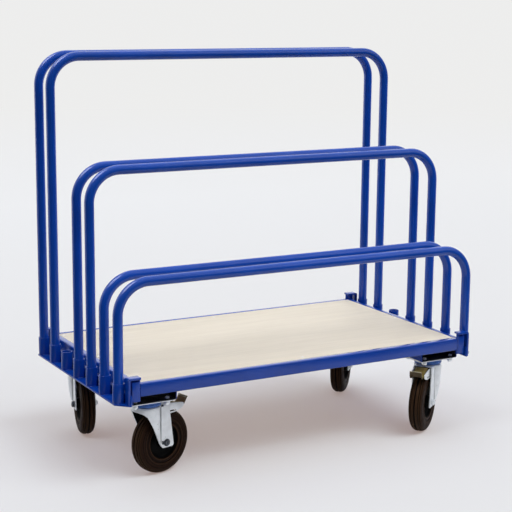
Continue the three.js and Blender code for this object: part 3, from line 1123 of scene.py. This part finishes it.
def fork_columns():
    """Places along one side of the fork, from its front tip to its trailing edge.

    Each is a share of the web or of the leg, with the height of its lower end."""
    crease = math.acos(CREASE_END / CROWN_RADIUS)
    web = []
    steps = 30
    for step in range(steps + 1):
        angle = math.pi - (math.pi - crease) * step / steps
        web.append(("web", angle, follow(WEB_EDGE, CROWN_RADIUS * math.cos(angle))))
    leg = []
    width = leg_back(LEG_FOOT) - LEG_CREASE
    shares = [0, 0.04, 0.09, 0.16, 0.3, 0.45, 0.6, 0.72, 0.82, 0.88, 0.93, 0.97, 1]
    for share in shares:
        into = max(0, LEG_CORNER - share * width, LEG_CORNER - (1 - share) * width)
        rise = LEG_CORNER - math.sqrt(LEG_CORNER**2 - min(into, LEG_CORNER) ** 2)
        leg.append(("leg", share, LEG_FOOT + rise))
    return web + leg


def fork_place(kind, share, z):
    """Place on the fork's side and the direction outwards there."""
    if kind == "leg":
        return LEG_CREASE + share * (leg_back(z) - LEG_CREASE), -LEG_FACE, (0, -1)
    x, y = CROWN_RADIUS * math.cos(share), -CROWN_RADIUS * math.sin(share)
    draw = 0.45 * max(0, CROWN_TOP - 14 - z) / (CROWN_TOP - LEG_FOOT)
    if y < -LEG_FACE:
        y = y + (-LEG_FACE - y) * draw
    into = max(0, x - CREASE_START) / (CREASE_END - CREASE_START)
    fade = min(1, max(0, (z - 112) / 36))
    return x, y + CREASE_DEPTH * into**1.5 * fade, (math.cos(share), -math.sin(share))


def fork_side():
    """Half of the fork: crown, rounded shoulder, web and leg."""
    columns = fork_columns()
    shoulder = [0, 22.5, 45, 67.5, 90]
    rows = []
    for row in range(18):
        points = []
        for kind, share, low in columns:
            top = CROWN_TOP - CROWN_BEND
            x, y, (nx, ny) = fork_place(kind, share, top)
            if row == 0:
                points.append((x - CROWN_BEND * nx, 0, CROWN_TOP))
            elif row <= len(shoulder):
                angle = math.radians(shoulder[row - 1])
                back = CROWN_BEND * (1 - math.sin(angle))
                z = top + CROWN_BEND * math.cos(angle)
                points.append((x - back * nx, min(0, y - back * ny), z))
            else:
                z = top + (low - top) * (row - len(shoulder)) / (17 - len(shoulder))
                x, y, _ = fork_place(kind, share, z)
                points.append((x, y, z))
        rows.append(points)
    return sheet("fork", rows)


def fork_pattern():
    fork = fork_side()
    apply(
        fork, "MIRROR", use_axis=(False, True, False), use_clip=True, merge_threshold=0.05 * MM
    )
    wall(fork, FORK_SHEET)
    soften(fork, 0.5, 2, 50)
    return fork


ARM_Y, ARM_SHEET = 25, 2.6
ARM_SLOT_X, ARM_SLOT_Z = (68, 94), (190.6, 195.4)


def brake_arms():
    """The bracket between the legs that carries the pedal: two slotted arms and a back plate."""
    columns = [
        (44, 186, 217),
        (56, 186, 217),
        (68, 186, 218.4),
        (80, 186.4, 217.4),
        (94, 187.5, 215.6),
        (106, 190.5, 214),
        (116, 194, 212.6),
        (122, 198, 211),
        (125, 201.5, 208),
    ]
    rows = [
        [(x, ARM_Y, low) for x, low, _ in columns],
        *[[(x, ARM_Y, min(z, top - 1)) for x, low, top in columns] for z in ARM_SLOT_Z],
        [(x, ARM_Y, top) for x, _, top in columns],
    ]
    rows = [
        [(x, y, max(z, low)) for (x, y, z), (_, low, _) in zip(row, columns)] for row in rows
    ]
    arm = sheet("arm", rows)

    def in_slot(face):
        x, _, z = face.calc_center_median() / MM
        return ARM_SLOT_X[0] < x < ARM_SLOT_X[1] and ARM_SLOT_Z[0] < z < ARM_SLOT_Z[1]

    with Edit(arm) as edit:
        edit.close_up()
        edit.pick("faces", in_slot)
        bpy.ops.mesh.delete(type="FACE")
    apply(arm, "SOLIDIFY", thickness=ARM_SHEET * MM, offset=0)
    with Edit(arm) as edit:
        edit.close_up()
    soften(arm, 0.5)
    back = block("back", (61.4, 64.4), (-LEG_FACE + 3.4, LEG_FACE - 3.4), (204, 219))
    soften(back, 0.8)
    return joined("arms", arm, copied(arm, "far_arm", flipped(y=-1)), back)


def inside_fork(matrix):
    """Test for the faces that look at the wheel."""
    back = matrix.inverted()

    def test(face):
        x, y, z = (back @ face.calc_center_median()) / MM
        normal = back.to_3x3() @ face.normal
        if 55 < x < 68 and abs(y) < ARM_Y - 2 and z > 203:
            return normal.x > 0.3 or z < CROWN_TOP - 0.5
        if z > CROWN_TOP - FORK_SHEET - 2:
            return normal.z < -0.7 and z < CROWN_TOP - 1
        if x > CREASE_END and abs(y) > LEG_FACE - FORK_SHEET - 0.5:
            return normal.y * y < -0.7 * abs(y)
        return Vector((x, y)).normalized().dot(normal.xy) < -0.7 and abs(y) > ARM_Y + 3

    return test


def in_crease(matrix, begin):
    """Test for the outer faces of the pressed crease between web and leg."""
    back = matrix.inverted()

    def test(face):
        x, y, z = (back @ face.calc_center_median()) / MM
        normal = back.to_3x3() @ face.normal
        return begin < x < 31.6 and abs(y) > 28 and 104 < z < 213 and normal.y * y > 0.2 * abs(y)

    return test


def in_axle_shadow_and_marks(matrix):
    """Test for greasy places on the leg's outer face: beside the axle and under the swivel head."""
    back = matrix.inverted()

    def test(face):
        x, y, z = (back @ face.calc_center_median()) / MM
        outside = (back.to_3x3() @ face.normal).y < -0.2 and y < -LEG_FACE + 3
        return outside and (33.6 < x < 46.2 and 95.9 < z < 106.8 or 31.8 < x < 41 and z > 212)

    return test


def make_forks():
    plain, arms = fork_pattern(), brake_arms()
    for name, (_, _, _, braked) in CASTERS.items():
        matrix = caster_matrix(name)
        pieces = [copied(plain, f"{name}_fork_pressing", matrix)]
        if braked:
            pieces.append(copied(arms, "arms", matrix))
        piece = joined(f"{name}_fork_pressing", *pieces)
        fit(piece, f"{name}_swivel", zinc(), "zinc", f"{name}_fork")
        # Painted shade inside the fork and on the bracket's back, where shade falls.
        repaint(piece, painted_shade(), inside_fork(matrix))
        # The pressed crease between web and leg gets a painted shade.
        repaint(piece, finish("Dull zinc", crease_shade_recipe), in_crease(matrix, CREASE_SHADE_START[name]))
        # On the front left fork, a painted shadow beside the axle and dark marks under the swivel
        # head.
        if name == "front_left":
            repaint(piece, finish("Dark steel", dark_steel_and_shadow_recipe), in_axle_shadow_and_marks(matrix))
    discard(plain, arms)


def tread_half():
    """Half of the tyre's section from its bead to the middle of the tread.

    Each point is a radius, a place across and how dusty that ring is."""
    bead = [(66.2, 19, 0), (66.2, 21.6, 0), (67.2, 22.6, 0.5), (69, 23, 0.6), (72.5, 23, 0.6)]
    side = [
        (73.4, 22, 0),
        (74.4, 22, 0),
        (75.3, 22.9, 0.5),
        (81.2, 22.9, 0.35),
        (82.2, 21.8, 0),
        (83.2, 21.8, 0),
        (84.2, 22.7, 0.6),
        (86.6, 22.3, 0.45),
    ]

    def curve(degrees, sink=0):
        lean = math.radians(degrees)
        return 82 + (18 - sink) * math.sin(lean), 5 + (18 - sink) * math.cos(lean)

    tread = [(*curve(angle), dust) for angle, dust in ((20, 0.4), (28, 0.5), (35, 0.7), (39, 0.9))]
    for low, high in ((41, 50), (61, 71)):
        tread.append((*curve(low), 1))
        tread += [(*curve(angle, 3.5), 0) for angle in (low + 1.5, high - 1.5)]
        tread.append((*curve(high), 1))
        tread.append((*curve(high + 5), 0.9))
    middle = [(100, 5.4, 0.9), (100, 2.9, 1), (96.5, 2.4, 0)]
    return bead + side + tread + middle


def mark_dust_and_painted_light(piece, section):
    """Keep the dust of each ring of a turned piece with its points."""
    dust = piece.data.attributes.new("dust", "FLOAT", "POINT")
    for vertex in piece.data.vertices:
        x, y, z = vertex.co / MM
        radius = math.hypot(x, z)
        near = min(section, key=lambda ring: (ring[0] - radius) ** 2 + (ring[1] - abs(y)) ** 2)
        dust.data[vertex.index].value = near[2]


def wheel_half():
    """Half of the wheel centre's section, from its hub to its rim, like the tyre's."""
    hub = [(6.8, 29), (12, 29), (13, 28.2), (17.5, 28.2), (18.5, 27.2), (20.4, 24), (21.4, 9)]
    dish = [(25, 6.4), (41, 5), (47.5, 7.4), (51.8, 12), (53, 19.6)]
    # The rim's rings carry dust and painted highlight, like the tyre's.
    rim = [(54, 21.4, 0.3), (55.4, 22.4, 0.9), (57.4, 22.4, 0.8), (58.4, 21.8, 0.2)]
    lip = [(63, 21.6, 0.3), (65, 21.2, 0), (66, 18.6, 0)]
    return [(*point, 0) for point in hub + dish] + rim + lip


def turned_wheel(name, half):
    """A symmetrical section spun round the axle, with its dust."""
    section = half + [(radius, -across, dust) for radius, across, dust in reversed(half)]
    outline = [(radius, across) for radius, across, _ in section]
    piece = turned(name, outline, sizes().wheel_steps, axis=(0, 1, 0))
    mark_dust_and_painted_light(piece, half)
    smooth(piece, 32)
    return piece


def make_wheels():
    tyre, centre = turned_wheel("tyre", tread_half()), turned_wheel("centre", wheel_half())
    rubber = finish("Brown-black rubber", rubber_recipe)
    black = finish("Black moulded plastic", wheel_black_recipe)
    for name in CASTERS:
        place = caster_matrix(name) @ moved(TRAIL, 0, AXLE_Z)
        piece = copied(tyre, f"{name}_tyre_ring", place)
        fit(piece, f"{name}_wheel", rubber, "tyre", f"{name}_tyre")
        piece = copied(centre, f"{name}_wheel_disc", place)
        fit(piece, f"{name}_wheel", black, "wheel_centre", f"{name}_wheel_centre")
        repaint(piece, rubber, on_rim(place))
    discard(tyre, centre)


def on_rim(matrix):
    """Test for the rim's outer faces, which the rubber covers."""
    back = matrix.inverted()

    def test(face):
        x, y, z = (back @ face.calc_center_median()) / MM
        return math.hypot(x, z) > 53 and abs(y) > 19.8

    return test


def axle_pattern(nut_height):
    """Axle bolt through the hub, with its head, nut and washers outside the legs."""
    rod = drum("rod", 5.8, -44, 36.7 + nut_height, sides=24)
    head = drum("head", 10.2, -41.4, -35.2, sides=6)
    nut = drum("nut", 10.2, 35.2, 35.2 + nut_height, sides=6)
    washers = [drum("washer", 11.6, low, low + 1.7, sides=28) for low in (-35.1, 33.4)]
    for part in (head, nut):
        soften(part, 0.9, 3)
    for part in (rod, *washers):
        soften(part, 0.4)
    axle = joined("axle", rod, head, nut, *washers)
    axle.data.transform(Matrix.Rotation(math.pi / 2, 4, "X"))
    return axle


def on_nut(matrix):
    """Test for the axle's nut, washer and thread end."""
    back = matrix.inverted()
    return lambda face: (back @ face.calc_center_median()).y < -33.2 * MM


def make_axles():
    for name in CASTERS:
        place = caster_matrix(name) @ moved(TRAIL, 0, AXLE_Z)
        axle = axle_pattern(NUT_HEIGHTS[name])
        axle.name = axle.data.name = f"{name}_axle_bolt"
        axle.data.transform(place)
        fit(axle, f"{name}_swivel", bolt_steel(), "zinc", f"{name}_axle")
        # The axle's nut, washers and thread end get a painted shadow.
        repaint(axle, finish("Dark steel", dark_steel_and_shadow_recipe), on_nut(place))


def pedal_pattern(lip_depth):
    """A pressed pedal: tread, rounded fold, upturned tip with a curled lip, ears and pin."""
    profile = [
        (69.5, 221.2),
        (73, 220.8),
        (82, 218.6),
        (95, 214.6),
        (108, 210.2),
        (118, 206.4),
        (124, 204.4),
        (128, 204.4),
        (131, 206),
        (133, 208.8),
        (136, 214),
        (139.6, 220.2),
        (141.8, 223.8),
        (143, 225.1),
        (144.2, 225.1),
        (144.8, 224),
    ]
    lip = {19.3: 0.18, 19.9: 0.55, 20: 1}
    across = [-20, -19.9, -19.3, -17, -9, 0, 9, 17, 19.3, 19.9, 20]
    fold, curl = 8, 12
    rows = []
    for index, (x, z) in enumerate(profile):
        (x0, z0), (x1, z1) = profile[max(0, index - 1)], profile[min(index + 1, len(profile) - 1)]
        if index <= curl:
            away = Vector((z1 - z0, x0 - x1)).normalized()
        deep = 5.5 if index < fold else max(1, min(lip_depth, PEDAL_REACH - x))
        rows.append(
            [
                (
                    x + deep * lip.get(abs(y), 0) * away.x,
                    y,
                    z + deep * lip.get(abs(y), 0) * away.y,
                )
                for y in across
            ]
        )
    tread = sheet("tread", rows)
    wall(tread, 2.2)
    soften(tread, 0.4)
    ears = []
    for side in (-1, 1):
        low = [(78, 200), (81, 196.4), (84, 195.4), (87, 196.4), (90, 200)]
        top = [(73, 219.4), (78, 218.2), (84, 216.4), (88, 215.2), (92, 214)]
        rows = [[(x, side * 18, z) for x, z in line] for line in (low, top)]
        ear = sheet("ear", rows)
        apply(ear, "SOLIDIFY", thickness=2.4 * MM, offset=0)
        with Edit(ear) as edit:
            edit.close_up()
        soften(ear, 0.4)
        ears.append(ear)
    pin = drum("pin", 3.9, -25.6, 25.6, sides=24)
    soften(pin, 0.5)
    pin.data.transform(moved(84, 0, 199.7) @ Matrix.Rotation(math.pi / 2, 4, "X"))
    return joined("pedal", tread, *ears, pin)


def pedal_parts(matrix):
    """Tests for the faces of the pedal's ears and pin, and of its worn tip."""
    back = matrix.inverted()

    def hinge(face):
        x, _, z = (back @ face.calc_center_median()) / MM
        return x < 93 and z < 217 - 0.31 * (x - 70)

    def tip(face):
        x, y, z = (back @ face.calc_center_median()) / MM
        return 139 < x < 149 and z > 221.4 and abs(y) < 19.6

    def tip_inner_face(face):
        x, _, z = (back @ face.calc_center_median()) / MM
        inward = (back.to_3x3() @ face.normal).x < -0.4
        return x > 128.5 and z <= 221.4 and inward

    def flap(face):
        x, y, z = (back @ face.calc_center_median()) / MM
        inward = (back.to_3x3() @ face.normal).x < -0.4
        return x > 127 and (z <= 221.4 and not inward or abs(y) >= 19.6)

    return {"hinge": hinge, "tip": tip, "tip_inner_face": tip_inner_face, "flap": flap}


def make_brake_pedals():
    olive = finish("Olive passivated steel", olive_recipe)
    for name, lip_depth in PEDAL_LIPS.items():
        matrix = caster_matrix(name)
        pedal = pedal_pattern(lip_depth)
        pedal.name = pedal.data.name = f"{name}_pedal_pressing"
        pedal.data.transform(matrix)
        fit(pedal, f"{name}_pedal", olive, "brake_pedal", f"{name}_brake_pedal")
        parts = pedal_parts(matrix)
        # Painted shade on the ears and pin, a painted highlight on the tip, the flap's inner face
        # painted lighter and its outer face and lips darker.
        repaint(pedal, painted_shade(), parts["hinge"])
        repaint(pedal, finish("Worn olive edge", tip_highlight_recipe), parts["tip"])
        repaint(pedal, finish("Rubbed brown", lightened_brown_recipe), parts["tip_inner_face"])
        repaint(pedal, finish("Dark olive", shaded_olive_recipe), parts["flap"])


# Stage


def make_floor():
    """Pale paper that runs far back.

    The camera and reflections also see a warm glow in it, which keeps the shadow light, and far off
    it fades into the backdrop. In front and on the left it is dark for all rays but the camera's, as
    a studio's unlit side is."""
    floor = start("studio_floor", "grid", x_subdivisions=8, y_subdivisions=8, size=4000)
    floor.data.transform(Matrix.Translation((0, 0, -0.0004)))
    made = bpy.data.materials.new("Pale studio floor")
    made.use_nodes = True
    graph = Graph(made.node_tree)
    pale, glow = colours().floor, colours().floor_glow
    place = graph.node("ShaderNodeTexCoord", output="Object")
    x, y = [
        graph.node("ShaderNodeSeparateXYZ", inputs={"Vector": place}, output=axis) for axis in "XY"
    ]
    seen, mirrored, through = [
        graph.node("ShaderNodeLightPath", output=f"Is {kind} Ray")
        for kind in ("Camera", "Glossy", "Transmission")
    ]
    lit = tuple(whole - part for whole, part in zip(pale, glow))
    paper = graph.mix(graph.between(y, 0.4, 5), lit, shade(lit, 1.12))
    paper = graph.mix(seen, (0.72, 0.72, 0.73), paper)
    towards = x * -0.49 + y * -0.87
    ends = [
        graph.between(towards, 1.4, 2.0),
        graph.between(x, 0.5, 1.0) * graph.between(y, -0.9, -1.4),
        graph.between(x, -0.75, -1.2) * graph.between(y, 0.9, 0.4),
    ]
    past = 1 - (1 - ends[0]) * (1 - ends[1]) * (1 - ends[2])
    unlit = past * (1 - seen)
    colour = graph.mix(unlit, paper, (0.05, 0.05, 0.055))
    surface = graph.node("ShaderNodeBsdfDiffuse", inputs={"Color": colour})
    distance = graph.node("ShaderNodeVectorMath", {"operation": "LENGTH"}, {0: place}, "Value")
    beyond = graph.between(distance, 4.5, 8)
    strength = (seen + (mirrored + through) * (0.5 + beyond * 3.5)) * (1 - unlit)
    tint = graph.mix(seen, (0.2, 0.2, 0.21), tuple(glow))
    light = graph.node("ShaderNodeEmission", inputs={"Color": tint, "Strength": strength})
    near = graph.node("ShaderNodeAddShader", inputs={0: surface, 1: light})
    far = graph.node("ShaderNodeEmission", inputs={"Color": tuple(colours().backdrop)})
    fade = graph.between(distance, 4.5, 13) * seen
    whole = graph.node("ShaderNodeMixShader", inputs={0: fade, 1: near, 2: far})
    graph.node("ShaderNodeOutputMaterial", inputs={"Surface": whole})
    floor.data.materials.append(made)


def make_world():
    """Pale backdrop for the camera; a studio that is bright above and behind, and dim in front."""
    world = bpy.data.worlds.new("Studio")
    world.use_nodes = True
    bpy.context.scene.world = world
    graph = Graph(world.node_tree)
    direction = graph.node("ShaderNodeTexCoord", output="Generated")
    x, y, z = [
        graph.node("ShaderNodeSeparateXYZ", inputs={"Vector": direction}, output=axis)
        for axis in "XYZ"
    ]
    above = graph.between(z, 0.3, 0.95)
    behind = graph.between(y, -0.1, 0.6)
    aside = graph.between(x, -0.9, 0.9)
    mirrored = graph.node("ShaderNodeLightPath", output="Is Glossy Ray")
    backdrop = behind * (0.4 + mirrored * 0.7)
    level = 0.05 + above * (0.25 + mirrored * 0.3) + backdrop + aside * 0.15
    small_box = graph.between(x * -0.42 + y * 0.1 + z * 0.9, 0.91, 0.97)
    level = level + small_box * mirrored * 7
    studio = graph.node(
        "ShaderNodeBackground", inputs={"Color": (0.97, 0.98, 1.0), "Strength": level}
    )
    pale = graph.node(
        "ShaderNodeBackground", inputs={"Color": tuple(colours().backdrop), "Strength": 1.0}
    )
    seen = graph.node("ShaderNodeLightPath", output="Is Camera Ray")
    both = graph.node("ShaderNodeMixShader", inputs={0: seen, 1: studio, 2: pale})
    graph.node("ShaderNodeOutputWorld", inputs={"Surface": both})


def make_lamps():
    """Soft lamps: a high bank on each side and a large round box at the front right."""
    for name, turn, energy in (
        ("Right bank", (22, 25, 0), 0.8),
        ("Front bank", (34, 5, 0), 0.6),
        ("Left bank", (2, -38, 0), 0.58),
        ("Rear bank", (-20, 0, 0), 0.28),
    ):
        clear_selection()
        bpy.ops.object.light_add(type="SUN", rotation=[math.radians(part) for part in turn])
        bank = bpy.context.object
        bank.name = name
        bank.data.energy = energy
        bank.data.angle = math.radians(24)
        bank.visible_glossy = False
    clear_selection()
    place, aim = Vector((5.0, -4.5, 4.7)), Vector((0.1, 0, 0.6))
    bpy.ops.object.light_add(
        type="AREA", location=place, rotation=(aim - place).to_track_quat("-Z", "Y").to_euler()
    )
    box = bpy.context.object
    box.name = "Front right box"
    box.data.energy = 55
    box.data.shape = "DISK"
    box.data.size = 5.2


def make_camera():
    clear_selection()
    bpy.ops.object.camera_add()
    camera = bpy.context.object
    right = Vector((0.87253228, -0.4884728, 0.00904164))
    up = Vector((0.08454054, 0.1691861, 0.98195161))
    back = -Vector((0.48118637, 0.85602009, -0.18891609))
    turn = Matrix((right, up, back)).transposed().to_4x4()
    camera.matrix_world = Matrix.Translation((-2.13217, -3.78941, 1.42219)) @ turn
    camera.data.lens = sizes().lens
    camera.data.sensor_width = 36
    camera.data.clip_end = 5000
    bpy.context.scene.camera = camera


def make_stage():
    make_floor()
    make_world()
    make_lamps()
    make_camera()
    bpy.context.scene.view_settings.view_transform = "Standard"


# Operators and panel


def operator(key, label, purpose, build):
    """An operator class that builds one group of pieces."""

    def execute(self, context):
        build()
        return {"FINISHED"}

    members = {
        "bl_idname": f"cart.{key}",
        "bl_label": label,
        "bl_options": {"REGISTER", "UNDO"},
        "__doc__": purpose,
        "execute": execute,
    }
    return type(f"CART_OT_{key}", (bpy.types.Operator,), members)


OPERATORS = [
    operator("deck_frame", "Deck Frame", "Folded rails of the deck frame", make_deck_frame),
    operator("deck_board", "Deck Board", "Plywood board and its screws", make_deck_board),
    operator("corner_posts", "Corner Posts", "Four folded corner posts", make_corner_posts),
    operator("end_ledges", "End Ledges", "Two ledges with their hooks", make_end_ledges),
    operator("sockets", "Sockets", "Fourteen sockets and their welds", make_sockets),
    operator("hoops", "Hoops", "Six bent tube hoops", make_hoops),
    operator("cross_channels", "Cross Channels", "Two channels", make_cross_channels),
    operator("caster_plates", "Caster Plates", "Plates and bolts", make_caster_plates),
    operator("swivel_rings", "Swivel Rings", "Blue swivel heads", make_swivel_rings),
    operator("forks", "Forks", "Pressed forks and brake arms", make_forks),
    operator("wheels", "Wheels", "Tyres and wheel centres", make_wheels),
    operator("axles", "Axles", "Axle bolts", make_axles),
    operator("brake_pedals", "Brake Pedals", "Brake pedals", make_brake_pedals),
    operator("stage", "Stage", "Floor, light and camera", make_stage),
]


class CART_PT_pieces(bpy.types.Panel):
    """Sizes, colours and pieces of the cart."""

    bl_label = "Sheet Goods Cart"
    bl_idname = "CART_PT_pieces"
    bl_space_type = "VIEW_3D"
    bl_region_type = "UI"
    bl_category = "Cart"

    def draw(self, context):
        layout = self.layout
        for settings in (context.scene.cart_sizes, context.scene.cart_colours):
            for key in settings.__annotations__:
                layout.prop(settings, key)
        for kind in OPERATORS:
            layout.operator(kind.bl_idname)


CLASSES = [CartColours, CartSizes, *OPERATORS, CART_PT_pieces]


def register():
    for kind in CLASSES:
        bpy.utils.register_class(kind)
    bpy.types.Scene.cart_colours = bpy.props.PointerProperty(type=CartColours)
    bpy.types.Scene.cart_sizes = bpy.props.PointerProperty(type=CartSizes)


def unregister():
    del bpy.types.Scene.cart_sizes
    del bpy.types.Scene.cart_colours
    for kind in reversed(CLASSES):
        bpy.utils.unregister_class(kind)


def main():
    register()
    for kind in OPERATORS:
        getattr(bpy.ops.cart, kind.bl_idname.removeprefix("cart."))()


if __name__ == "__main__":
    main()
